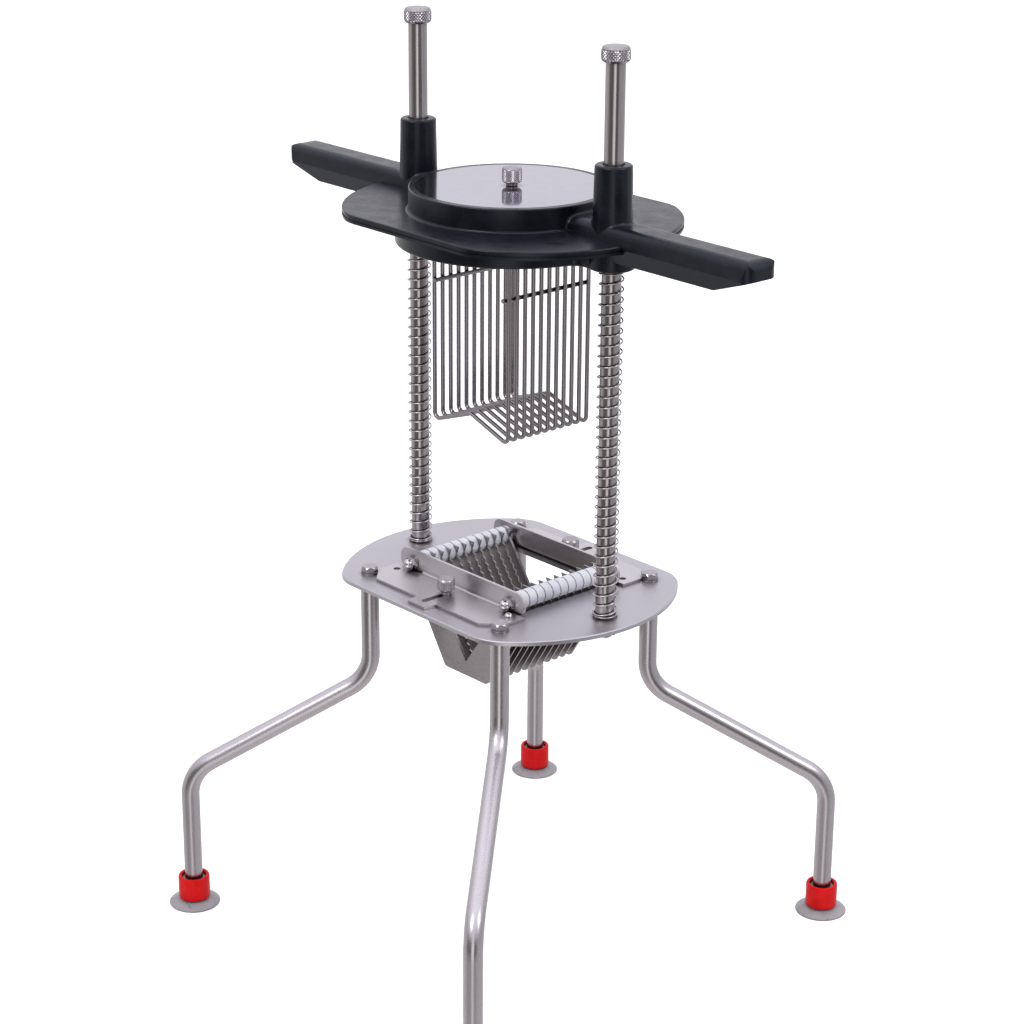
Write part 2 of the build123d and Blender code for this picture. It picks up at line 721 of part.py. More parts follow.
def make_locating_studs():
    studs = []
    top = PLATE_TOP + SHEET
    for sx, sy in (CORNERS["front"], CORNERS["back"]):
        x = sx * STUD_X
        y = sy * STUD_Y
        ball = Pos(x, y, top) * Sphere(STUD_HEAD_R) & Pos(x, y, top + STUD_HEAD_R) * Box(
            2 * STUD_HEAD_R, 2 * STUD_HEAD_R, 2 * STUD_HEAD_R
        )
        studs.append(ball + tube_at(x, y, PLATE_BOTTOM - STUD_TAIL, top, STUD_SHANK_R))
    return Compound(studs)


def make_clamp_screw(side):
    y = side * CLAMP_Y
    head = tube_at(0, y, CLAMP_HEAD_BOTTOM, CLAMP_HEAD_TOP, CLAMP_HEAD_R)
    head = chamfer(head.edges().filter_by(GeomType.CIRCLE), CLAMP_CHAMFER)
    neck = tube_at(0, y, PLATE_TOP + SHEET, CLAMP_HEAD_BOTTOM, CLAMP_NECK_R)
    stem = tube_at(0, y, CLAMP_STEM_BOTTOM, PLATE_TOP + SHEET, CLAMP_STEM_R)
    return head + neck + stem


def all_parts():
    parts = {"base_plate": make_base_plate()}
    for corner, (sx, sy) in CORNERS.items():
        parts["leg_" + corner] = make_leg(sx, sy)
        parts["foot_collar_" + corner] = make_collar(sx, sy)
        parts["suction_cup_" + corner] = make_cup(sx, sy)
    parts["leg_inserts"] = make_leg_inserts()
    parts["leg_bolts"] = make_leg_bolts()
    parts["leg_washers"] = make_leg_washers()
    for name, side in SIDES.items():
        parts["guide_rod_" + name] = make_guide_rod(side)
        parts["rod_cap_" + name] = make_rod_cap(side)
        parts["spring_" + name] = make_spring(side)
        parts["spacers_" + name] = make_spacers(side)
    parts["rod_nuts"] = make_rod_nuts()
    parts["pusher_head"] = make_pusher_head()
    parts["guide_bushes"] = make_guide_bushes()
    parts["lid_disc"] = make_lid_disc()
    parts["lid_stud"] = make_lid_stud()
    parts["lid_knob"] = make_lid_knob()
    parts["comb_carrier"] = make_comb_carrier()
    parts["comb_wires"] = make_comb_wires()
    parts["comb_cross_rods"] = make_comb_cross_rods()
    parts["tie_rods"] = make_tie_rods()
    parts["dome_washers"] = make_dome_washers()
    parts["dome_nuts"] = make_dome_nuts()
    parts["end_plate_front"] = blade_plate(-end_plate_y(), END_PLATE_T, False)
    parts["end_plate_back"] = blade_plate(end_plate_y(), END_PLATE_T, False)
    for i, y in enumerate(blade_rows()):
        parts["blade_%02d" % (i + 1)] = blade_plate(y, BLADE_T, True)
    parts["bracket_front"] = make_bracket(-1)
    parts["bracket_back"] = make_bracket(1)
    parts["locating_studs"] = make_locating_studs()
    parts["clamp_screw_front"] = make_clamp_screw(-1)
    parts["clamp_screw_back"] = make_clamp_screw(1)
    return parts


os.makedirs("parts", exist_ok=True)
for node, shape in all_parts().items():
    export_step(shape, "parts/" + node + ".step")
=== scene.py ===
import math

import bmesh
import bpy
from mathutils import Matrix, Vector


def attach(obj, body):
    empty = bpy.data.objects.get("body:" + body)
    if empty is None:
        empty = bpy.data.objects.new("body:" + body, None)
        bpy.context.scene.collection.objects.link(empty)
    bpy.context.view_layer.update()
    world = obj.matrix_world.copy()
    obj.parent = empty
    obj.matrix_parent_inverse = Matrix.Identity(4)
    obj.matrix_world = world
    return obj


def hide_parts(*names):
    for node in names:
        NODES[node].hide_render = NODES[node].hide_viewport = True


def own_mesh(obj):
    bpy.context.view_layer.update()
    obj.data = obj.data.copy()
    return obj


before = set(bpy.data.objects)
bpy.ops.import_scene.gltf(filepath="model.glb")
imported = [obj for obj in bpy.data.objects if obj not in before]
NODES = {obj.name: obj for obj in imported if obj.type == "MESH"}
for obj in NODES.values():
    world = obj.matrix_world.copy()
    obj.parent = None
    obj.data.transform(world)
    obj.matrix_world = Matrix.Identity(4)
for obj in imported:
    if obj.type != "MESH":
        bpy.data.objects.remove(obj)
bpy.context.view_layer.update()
MM = 0.001

# Places on the object, in millimetres.
CORNERS = {"front": (1, -1), "right": (1, 1), "back": (-1, 1), "left": (-1, -1)}
SIDES = {"left": -1, "right": 1}
ROD_X = 96.0
PLATE_TOP = 258.0
HEAD_BOTTOM = 498.0
FOOT_X = 155.0
FOOT_Y = 168.0
CLAMP_Y = 58.0

# ---------------------------------------------------------------- materials

# Heights of the fine surface relief, in metres.
BRUSH_DEPTH = 0.00003
GRAIN_DEPTH = 0.00002
SPARK_DEPTH = 0.00012
SWELL_DEPTH = 0.0002
# Painted shade in corners and gaps: how far out it reaches, in metres, and how strong it is.
STEEL_PAINTED_SHADE = (0.004, 0.8)
PLASTIC_PAINTED_SHADE = (0.003, 0.6)


class Graph:
    """A small helper that builds one material's nodes in object space."""

    def __init__(self, name):
        self.mat = bpy.data.materials.new(name)
        self.mat.use_nodes = True
        self.tree = self.mat.node_tree
        self.shader = self.tree.nodes["Principled BSDF"]
        self.coords = self.tree.nodes.new("ShaderNodeTexCoord").outputs["Object"]

    def link(self, a, b):
        """Joins an output to an input."""
        self.tree.links.new(a, b)

    def set(self, **values):
        """Sets the shader's own values; an underscore in a name stands for a space."""
        for key, value in values.items():
            self.shader.inputs[key.replace("_", " ")].default_value = value

    def stretched(self, scale):
        """Object coordinates, scaled along each axis."""
        node = self.tree.nodes.new("ShaderNodeMapping")
        node.inputs["Scale"].default_value = scale
        self.link(self.coords, node.inputs["Vector"])
        return node.outputs["Vector"]

    def noise(self, scale, detail=4.0, rough=0.6, stretch=(1, 1, 1)):
        """Noise with so many waves to the metre, from 0 to 1."""
        node = self.tree.nodes.new("ShaderNodeTexNoise")
        node.inputs["Scale"].default_value = scale
        node.inputs["Detail"].default_value = detail
        node.inputs["Roughness"].default_value = rough
        self.link(self.stretched(stretch), node.inputs["Vector"])
        return node.outputs["Fac"]

    def ramp(self, source, stops):
        """Colours along a value."""
        node = self.tree.nodes.new("ShaderNodeValToRGB")
        ramp = node.color_ramp
        for i, (place, colour) in enumerate(stops):
            stop = ramp.elements[i] if i < 2 else ramp.elements.new(place)
            stop.position = place
            stop.color = (*colour, 1.0)
        self.link(source, node.inputs["Fac"])
        return node.outputs["Color"]

    def span(self, source, low, high, start=0.3, end=0.7):
        """A value between start and end, stretched to run from low to high."""
        node = self.tree.nodes.new("ShaderNodeMapRange")
        limits = {"From Min": start, "From Max": end, "To Min": low, "To Max": high}
        for key, value in limits.items():
            node.inputs[key].default_value = value
        self.link(source, node.inputs["Value"])
        return node.outputs["Result"]

    def bump(self, source, strength, distance, below=None):
        """A normal roughened by source, on top of another one if given."""
        node = self.tree.nodes.new("ShaderNodeBump")
        node.inputs["Strength"].default_value = strength
        node.inputs["Distance"].default_value = distance
        self.link(source, node.inputs["Height"])
        if below is not None:
            self.link(below, node.inputs["Normal"])
        return node.outputs["Normal"]

    def painted_corner_shade(self, colour, reach, share):
        """The colour darkened in corners and gaps: painted shade."""
        # ambient occlusion darkens the colour where shade falls: painted shade
        corner = self.tree.nodes.new("ShaderNodeAmbientOcclusion")
        corner.samples = 3
        corner.inputs["Distance"].default_value = reach
        self.link(colour, corner.inputs["Color"])
        mix = self.tree.nodes.new("ShaderNodeMix")
        mix.data_type = "RGBA"
        mix.inputs[0].default_value = share
        self.link(colour, mix.inputs[6])
        self.link(corner.outputs["Color"], mix.inputs[7])
        return mix.outputs[2]


def steel(name, dark, light, rough, stretch, scratch=0.06, grain=2500.0, cloud=14.0):
    """Worked metal: drawn or brushed scratches, soft clouding, and uneven polish."""
    g = Graph(name)
    g.set(Metallic=1.0)
    lines = g.noise(1.0, 2.0, 0.5, stretch)
    clouds = g.noise(cloud, 2.0, 0.5)
    mixed = g.tree.nodes.new("ShaderNodeMix")
    mixed.data_type = "FLOAT"
    mixed.inputs[0].default_value = 0.5
    g.link(lines, mixed.inputs[2])
    g.link(clouds, mixed.inputs[3])
    colour = g.ramp(mixed.outputs[0], [(0.25, dark), (0.75, light)])
    # painted shade: the colour darkens in corners and gaps, where shade falls
    g.link(g.painted_corner_shade(colour, *STEEL_PAINTED_SHADE), g.shader.inputs["Base Color"])
    g.link(g.span(mixed.outputs[0], rough[0], rough[1]), g.shader.inputs["Roughness"])
    fine = g.bump(g.noise(grain, 2.0, 0.6), scratch * 0.5, GRAIN_DEPTH)
    g.link(g.bump(lines, scratch, BRUSH_DEPTH, fine), g.shader.inputs["Normal"])
    return g.mat


def moulded(name, dark, light, rough, grain=1400.0, strength=0.25, **values):
    """Moulded plastic or rubber: fine spark grain, faint mottling and dust, with painted shade in
    corners and gaps.
    """
    g = Graph(name)
    g.set(**values)
    mottle = g.noise(90.0, 5.0, 0.65)
    colour = g.ramp(mottle, [(0.3, dark), (0.72, light)])
    # painted shade: the colour darkens in corners and gaps, where shade falls
    g.link(g.painted_corner_shade(colour, *PLASTIC_PAINTED_SHADE), g.shader.inputs["Base Color"])
    g.link(g.span(mottle, rough[0], rough[1]), g.shader.inputs["Roughness"])
    swell = g.bump(g.noise(220.0, 3.0, 0.5), strength * 0.4, SWELL_DEPTH)
    sparks = g.noise(grain, 3.0, 0.6)
    g.link(g.bump(sparks, strength, SPARK_DEPTH, swell), g.shader.inputs["Normal"])
    return g.mat


MAT = {
    "tube": steel("tube_steel_mat", (0.49, 0.455, 0.47), (0.61, 0.57, 0.59),
                  rough=(0.22, 0.30), stretch=(1500, 1500, 150)),
    "rod": steel("rod_steel_mat", (0.39, 0.355, 0.36), (0.53, 0.485, 0.495),
                 rough=(0.15, 0.22), stretch=(2600, 2600, 70)),
    "plate": steel("plate_steel_mat", (0.50, 0.48, 0.50), (0.585, 0.565, 0.59),
                   rough=(0.33, 0.42), stretch=(70, 2200, 70), scratch=0.05),
    "bracket": steel("bracket_steel_mat", (0.55, 0.525, 0.53), (0.68, 0.65, 0.66),
                     rough=(0.27, 0.36), stretch=(60, 2200, 2200), scratch=0.07),
    "blade": steel("blade_steel_mat", (0.33, 0.305, 0.31), (0.50, 0.465, 0.475),
                   rough=(0.24, 0.36), stretch=(200, 60, 900), scratch=0.07),
    "spring": steel("spring_steel_mat", (0.47, 0.42, 0.41), (0.64, 0.59, 0.58),
                    rough=(0.15, 0.24), stretch=(900, 900, 900), scratch=0.03),
    "wire": steel("comb_wire_mat", (0.26, 0.235, 0.24), (0.38, 0.35, 0.36),
                  rough=(0.13, 0.22), stretch=(1500, 1500, 80), scratch=0.04),
    "fastener": steel("fastener_steel_mat", (0.38, 0.355, 0.36), (0.55, 0.52, 0.53),
                      rough=(0.18, 0.30), stretch=(900, 900, 900), scratch=0.06),
    "knurl": steel("knurled_steel_mat", (0.31, 0.29, 0.30), (0.47, 0.445, 0.46),
                   rough=(0.22, 0.33), stretch=(900, 900, 900), scratch=0.05),
    "chrome": steel("chrome_steel_mat", (0.52, 0.495, 0.50), (0.66, 0.63, 0.64),
                    rough=(0.05, 0.10), stretch=(500, 500, 500), scratch=0.01),
    "mirror": steel("mirror_steel_mat", (0.505, 0.49, 0.565), (0.565, 0.55, 0.63),
                    rough=(0.06, 0.10), stretch=(120, 120, 120), scratch=0.004,
                    grain=200.0, cloud=9.0),
    "black": moulded("black_plastic_mat", (0.0012, 0.0014, 0.0027), (0.0058, 0.0068, 0.0128),
                     rough=(0.24, 0.46), grain=800.0, strength=0.6,
                     Specular_IOR_Level=0.17, Specular_Tint=(0.8, 0.87, 1.0, 1.0),
                     Coat_Weight=0.4, Coat_IOR=1.42, Coat_Roughness=0.25),
    "bush": moulded("bush_plastic_mat", (0.02, 0.02, 0.021), (0.035, 0.035, 0.036),
                    rough=(0.4, 0.5)),
    "white": moulded("white_plastic_mat", (0.53, 0.535, 0.57), (0.64, 0.645, 0.685),
                     rough=(0.35, 0.45), grain=900.0, strength=0.06),
    "red": moulded("red_plastic_mat", (0.40, 0.0015, 0.002), (0.54, 0.003, 0.004),
                   rough=(0.30, 0.42), grain=700.0, strength=0.04, Specular_IOR_Level=0.12),
    "rubber": moulded("grey_rubber_mat", (0.26, 0.24, 0.25), (0.38, 0.355, 0.37),
                      rough=(0.25, 0.38), grain=600.0, strength=0.06,
                      Transmission_Weight=0.35, IOR=1.42),
}

FINISH = {
    "base_plate": "plate", "leg_": "tube", "leg_inserts": "fastener", "leg_bolts": "fastener",
    "leg_washers": "fastener", "foot_collar_": "red", "suction_cup_": "rubber",
    "guide_rod_": "rod", "rod_cap_": "knurl", "rod_nuts": "fastener", "spring_": "spring",
    "pusher_head": "black", "guide_bushes": "bush", "lid_disc": "mirror",
    "lid_stud": "fastener", "lid_knob": "knurl", "comb_carrier": "fastener",
    "comb_wires": "wire", "comb_cross_rods": "wire", "tie_rods": "fastener",
    "dome_washers": "fastener", "dome_nuts": "chrome", "end_plate_": "blade",
    "blade_": "blade", "spacers_": "white", "bracket_": "bracket",
    "locating_studs": "chrome", "clamp_screw_": "knurl",
}


def finish_of(node):
    """The longest key that starts the node's name says its finish."""
    return FINISH[max((key for key in FINISH if node.startswith(key)), key=len)]


def paint(obj, material):
    """Gives a piece one material in place of what it had."""
    obj.data.materials.clear()
    obj.data.materials.append(material)


for node_name, node in NODES.items():
    finish = MAT[finish_of(node_name)]
    if node.data.materials:
        for slot in node.material_slots:
            slot.material = finish
    else:
        node.data.materials.append(finish)

# ---------------------------------------------------------------- mesh tools

KNURL_ANGLE = 22.0


def new_piece(name, verts, faces, finish, smooth=True, angle=35.0):
    """A mesh piece from corners in millimetres."""
    mesh = bpy.data.meshes.new(name)
    mesh.from_pydata([Vector(v) * MM for v in verts], [], faces)
    mesh.validate()
    mesh.update()
    obj = bpy.data.objects.new(name, mesh)
    bpy.context.scene.collection.objects.link(obj)
    paint(obj, MAT[finish])
    if smooth:
        mesh.shade_smooth()
        bpy.context.view_layer.objects.active = obj
        obj.select_set(True)
        bpy.ops.object.shade_smooth_by_angle(angle=math.radians(angle))
        obj.select_set(False)
    return obj


def rounded(points, radii, steps=5):
    """A polyline with its inner corners turned into arcs."""
    out = [points[0]]
    for i in range(1, len(points) - 1):
        here, radius = Vector(points[i]), radii.get(i, 0.0)
        if not radius:
            out.append(tuple(here))
            continue
        back = (Vector(points[i - 1]) - here).normalized()
        ahead = (Vector(points[i + 1]) - here).normalized()
        half = back.angle(ahead) / 2
        centre = here + (back + ahead).normalized() * radius / math.sin(half)
        start = here + back * radius / math.tan(half) - centre
        end = here + ahead * radius / math.tan(half) - centre
        for k in range(steps + 1):
            out.append(tuple(centre + turn(start, end, k / steps)))
    out.append(points[-1])
    return out


def turn(start, end, share):
    """start turned towards end about the origin, in the plane."""
    a = math.atan2(start[1], start[0])
    b = math.atan2(end[1], end[0])
    swing = (b - a + math.pi) % (2 * math.pi) - math.pi
    angle = a + swing * share
    return Vector((math.cos(angle), math.sin(angle))) * start.length


def lathe_data(profile, x, y, around=96):
    """Corners and faces of a turned body; the profile holds (radius, height) pairs."""
    verts, faces, rings = [], [], []
    for radius, z in profile:
        if radius < 1e-6:
            rings.append([len(verts)])
            verts.append((x, y, z))
            continue
        rings.append(list(range(len(verts), len(verts) + around)))
        for k in range(around):
            a = 2 * math.pi * k / around
            verts.append((x + radius * math.cos(a), y + radius * math.sin(a), z))
    for low, high in zip(rings, rings[1:]):
        for k in range(around):
            m = (k + 1) % around
            if len(low) == 1:
                faces.append((low[0], high[m], high[k]))
            elif len(high) == 1:
                faces.append((low[k], low[m], high[0]))
            else:
                faces.append((low[k], low[m], high[m], high[k]))
    return verts, faces


def merge(*parts):
    """Several (corners, faces) pairs as one."""
    verts, faces = [], []
    for v, f in parts:
        base = len(verts)
        verts += v
        faces += [tuple(i + base for i in face) for face in f]
    return verts, faces


def knurl_data(x, y, bottom, top, radius, depth, around):
    """Corners and faces of a band of small pyramids, open at both ends."""
    step = 2 * math.pi / (2 * around)
    rows = max(2, round((top - bottom) / (radius * step)))
    verts, faces = [], []
    for j in range(rows + 1):
        for i in range(2 * around):
            peak = (i + j) % 2 == 0
            r = radius if peak and 0 < j < rows else radius - depth
            z = bottom + (top - bottom) * j / rows
            verts.append((x + r * math.cos(step * i), y + r * math.sin(step * i), z))
    n = 2 * around
    for j in range(rows):
        for i in range(n):
            m = (i + 1) % n
            a, b, c, d = j * n + i, j * n + m, (j + 1) * n + m, (j + 1) * n + i
            if (i + j) % 2 == 0:
                faces += [(a, b, d), (b, c, d)]
            else:
                faces += [(a, b, c), (a, c, d)]
    return verts, faces


def knurled_piece(name, node, place, below, band, above, radius, depth, around):
    """A turned knob: a smooth profile, the knurled band, and a smooth profile above it."""
    x, y = place
    n = 2 * around
    root = radius - depth
    low = lathe_data(below + [(root, band[0])], x, y, n)
    ribs = knurl_data(x, y, band[0], band[1], radius, depth, around)
    high = lathe_data([(root, band[1])] + above, x, y, n)
    verts, faces = merge(low, ribs, high)
    obj = new_piece(name, verts, faces, "knurl", True, KNURL_ANGLE)
    weld(obj)
    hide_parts(node)
    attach(obj, node)


def weld(obj, distance=1e-6):
    """Joins corners that lie on each other and turns all faces outwards."""
    bm = bmesh.new()
    bm.from_mesh(obj.data)
    bmesh.ops.remove_doubles(bm, verts=bm.verts, dist=distance)
    bmesh.ops.recalc_face_normals(bm, faces=bm.faces)
    bm.to_mesh(obj.data)
    bm.free()


def tube_data(path, radius, sides=10):
    """Corners and faces of a closed round wire along a list of points."""
    verts, faces = [], []
    count = len(path)
    side = None
    for i, point in enumerate(path):
        ahead = (path[min(i + 1, count - 1)] - path[max(i - 1, 0)]).normalized()
        if side is None:
            side = ahead.orthogonal().normalized()
        side = (side - ahead * side.dot(ahead)).normalized()
        other = ahead.cross(side)
        for k in range(sides):
            a = 2 * math.pi * k / sides
            verts.append(tuple(point + (side * math.cos(a) + other * math.sin(a)) * radius))
    for i in range(count - 1):
        for k in range(sides):
            m = (k + 1) % sides
            faces.append((i * sides + k, i * sides + m, (i + 1) * sides + m, (i + 1) * sides + k))
    faces.append(tuple(reversed(range(sides))))
    faces.append(tuple(range((count - 1) * sides, count * sides)))
    return verts, faces


# ---------------------------------------------------------------- springs

COIL_R = 7.9
WIRE_R = 0.55
SPRING_TURNS = 34
CLOSED_TURNS = 1.6
CLOSED_PITCH = 2.3 * WIRE_R
TURN_STEPS = 28
SPRING_GAP = 0.05
SPRING_START = {"left": 2.4, "right": 0.9}


def spring_height(turns):
    """Height of the coil after so many turns: closed at both ends, open between."""
    total = SPRING_TURNS + 2 * CLOSED_TURNS
    low = PLATE_TOP + WIRE_R + SPRING_GAP
    high = HEAD_BOTTOM - WIRE_R - SPRING_GAP
    shut = CLOSED_TURNS * CLOSED_PITCH
    if turns < CLOSED_TURNS:
        return low + shut * turns / CLOSED_TURNS
    if turns > total - CLOSED_TURNS:
        return high - shut * (total - turns) / CLOSED_TURNS
    share = (turns - CLOSED_TURNS) / SPRING_TURNS
    return low + shut + (high - low - 2 * shut) * share


def make_spring(name, side):
    """A coil on one rod, from the plate up to the head's bottom."""
    total = SPRING_TURNS + 2 * CLOSED_TURNS
    steps = int(total * TURN_STEPS)
    path = []
    for i in range(steps + 1):
        turns = total * i / steps
        a = 2 * math.pi * turns + SPRING_START[name]
        x = side * ROD_X + COIL_R * math.cos(a)
        path.append(Vector((x, COIL_R * math.sin(a), spring_height(turns))))
    obj = new_piece("spring_coil_" + name, *tube_data(path, WIRE_R), "spring", True, 60.0)
    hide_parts("spring_" + name)
    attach(obj, "stand")
    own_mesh(obj)


for side_name, side_sign in SIDES.items():
    make_spring(side_name, side_sign)

# ---------------------------------------------------------------- knurled screws and caps

CAP_R = 9.5
CAP_TOP = 640.0
CAP_BOTTOM = 630.0
CAP_BORE_R = 4.06
CAP_BORE_TOP = CAP_BOTTOM + 7.5
CAP_EDGE_R = CAP_R - 0.35
CAP_BAND = (CAP_BOTTOM + 1.3, CAP_TOP - 1.9)
CAP_KNURL = (0.62, 26)

KNOB_R = 6.7
KNOB_EDGE_R = 6.45
KNOB_BORE_R = 3.01
KNOB_BORE_TOP = 544.0
KNOB_NECK_R = 3.9
KNOB_BOTTOM = 535.02
KNOB_NECK_TOP = 537.3
KNOB_TOP = 547.3
KNOB_BAND = (538.2, 546.3)
KNOB_KNURL = (0.32, 30)

CLAMP_R = 6.2
CLAMP_EDGE_R = 5.95
CLAMP_SHANK_R = 2.25
CLAMP_TIP = 249.0
CLAMP_COLLAR_R = 3.6
CLAMP_COLLAR_LOW = 260.05
CLAMP_COLLAR_HIGH = 262.2
CLAMP_TOP = 271.8
CLAMP_BAND = (264.1, 270.5)
CLAMP_KNURL = (0.30, 30)


def make_cap(name, side):
    """The cap on one rod, with the bore that its threaded end sits in."""
    below = rounded([
        (0, CAP_BORE_TOP), (CAP_BORE_R, CAP_BORE_TOP), (CAP_BORE_R, CAP_BOTTOM),
        (CAP_R - 1.5, CAP_BOTTOM), (CAP_EDGE_R, CAP_BAND[0]),
    ], {3: 0.3})
    above = rounded([(CAP_EDGE_R, CAP_TOP - 1.5), (CAP_R - 1.4, CAP_TOP), (0, CAP_TOP)], {1: 0.5})
    node = "rod_cap_" + name
    knurled_piece("rod_cap_knurled_" + name, node, (side * ROD_X, 0), below, CAP_BAND, above,
                  CAP_R, *CAP_KNURL)


def make_lid_knob():
    """The thumb nut on the lid: a neck, then the knurled head."""
    below = rounded([
        (0, KNOB_BORE_TOP), (KNOB_BORE_R, KNOB_BORE_TOP), (KNOB_BORE_R, KNOB_BOTTOM),
        (KNOB_NECK_R - 0.2, KNOB_BOTTOM), (KNOB_NECK_R, 535.4), (KNOB_NECK_R, KNOB_NECK_TOP),
        (5.7, KNOB_NECK_TOP), (KNOB_EDGE_R, 538.1),
    ], {5: 0.25})
    above = rounded([(KNOB_EDGE_R, 546.5), (5.9, KNOB_TOP), (0, KNOB_TOP)], {1: 0.4})
    knurled_piece("lid_knob_knurled", "lid_knob", (0, 0), below, KNOB_BAND, above,
                  KNOB_R, *KNOB_KNURL)


def make_clamp(name, side):
    """A thumbscrew: the shank through the plate, a collar on the bracket, a knurled head."""
    below = rounded([
        (0, CLAMP_TIP), (CLAMP_SHANK_R - 0.35, CLAMP_TIP), (CLAMP_SHANK_R, CLAMP_TIP + 0.4),
        (CLAMP_SHANK_R, CLAMP_COLLAR_LOW), (CLAMP_COLLAR_R, CLAMP_COLLAR_LOW),
        (CLAMP_COLLAR_R, CLAMP_COLLAR_HIGH), (4.6, 262.8), (CLAMP_EDGE_R, 264.0),
    ], {6: 0.3})
    above = rounded([(CLAMP_EDGE_R, 270.7), (5.2, CLAMP_TOP), (0, CLAMP_TOP)], {1: 0.5})
    knurled_piece("clamp_screw_knurled_" + name, "clamp_screw_" + name, (0, side * CLAMP_Y),
                  below, CLAMP_BAND, above, CLAMP_R, *CLAMP_KNURL)


for side_name, side_sign in SIDES.items():
    make_cap(side_name, side_sign)
make_lid_knob()
make_clamp("front", -1)
make_clamp("back", 1)

# ---------------------------------------------------------------- feet

COLLAR_R = 11.3
COLLAR_LOW = 4.6
COLLAR_BORE_R = 8.75
COLLAR_TOP = 22.0
CUP_R = 18.3
CUP_NECK_R = 8.6
CUP_BORE_R = 6.55
CUP_TOP = 19.5
CUP_HOLLOW_R = 15.5
CUP_HOLLOW_Z = 1.8


def foot_piece(name, node, profile, finish, place):
    """A turned part of one foot, in place of its plain CAD node."""
    obj = new_piece(name, *lathe_data(profile, *place), finish)
    weld(obj)
    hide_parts(node)
    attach(obj, "stand")


def make_foot(name, sx, sy):
    """The red collar round a leg's end, and the suction cup below it."""
    place = (sx * FOOT_X, sy * FOOT_Y)
    collar = rounded([
        (COLLAR_BORE_R, COLLAR_LOW), (COLLAR_R - 0.6, COLLAR_LOW), (COLLAR_R, COLLAR_LOW + 0.7),
        (COLLAR_R, 20.9), (10.9, 21.9), (9.4, COLLAR_TOP), (COLLAR_BORE_R, 21.5),
        (COLLAR_BORE_R, COLLAR_LOW),
    ], {1: 0.3, 2: 0.4, 3: 0.5, 4: 0.5, 5: 0.3})
    foot_piece("collar_" + name, "foot_collar_" + name, collar, "red", place)
    cup = rounded([
        (0, 6.0), (CUP_BORE_R, 6.0), (CUP_BORE_R, CUP_TOP), (CUP_NECK_R, CUP_TOP),
        (CUP_NECK_R, 5.2), (9.8, 4.2), (15.0, 2.4), (17.8, 1.1), (CUP_R, 0.7), (18.2, 0.0),
        (CUP_HOLLOW_R, 0.0), (COLLAR_BORE_R, CUP_HOLLOW_Z), (0, CUP_HOLLOW_Z),
    ], {3: 0.6, 5: 1.2, 6: 4.0, 8: 0.3, 10: 1.0, 11: 2.0})
    foot_piece("cup_" + name, "suction_cup_" + name, cup, "rubber", place)


for corner_name, (sign_x, sign_y) in CORNERS.items():
    make_foot(corner_name, sign_x, sign_y)

# ---------------------------------------------------------------- stage, camera, light

CAMERA_AT = Vector((1.2446, -1.1170, 0.9176))
CAMERA_AZIMUTH = math.radians(48.04)
CAMERA_PITCH = math.radians(20.10)
CAMERA_ROLL = math.radians(0.39)
CAMERA_LENS = 90.7052
SENSOR_WIDTH = 36.0
FLOOR_MIDDLE = 0.48
FLOOR_REACH = 14.0
FLOOR_DROP = 0.0002


def make_camera():
    """The camera, turned by its azimuth, pitch and roll."""
    level = math.cos(CAMERA_PITCH)
    back = Vector((math.sin(CAMERA_AZIMUTH) * level, -math.cos(CAMERA_AZIMUTH) * level,
                   math.sin(CAMERA_PITCH)))
    right = (-back).cross(Vector((0, 0, 1))).normalized()
    up = right.cross(-back)
    axis_x = math.cos(CAMERA_ROLL) * right + math.sin(CAMERA_ROLL) * up
    axis_y = -math.sin(CAMERA_ROLL) * right + math.cos(CAMERA_ROLL) * up
    data = bpy.data.cameras.new("camera")
    data.sensor_width = SENSOR_WIDTH
    data.lens = CAMERA_LENS
    camera = bpy.data.objects.new("camera", data)
    bpy.context.scene.collection.objects.link(camera)
    turned = Matrix((axis_x, axis_y, back)).transposed().to_4x4()
    camera.matrix_world = Matrix.Translation(CAMERA_AT) @ turned
    bpy.context.scene.camera = camera


make_camera()


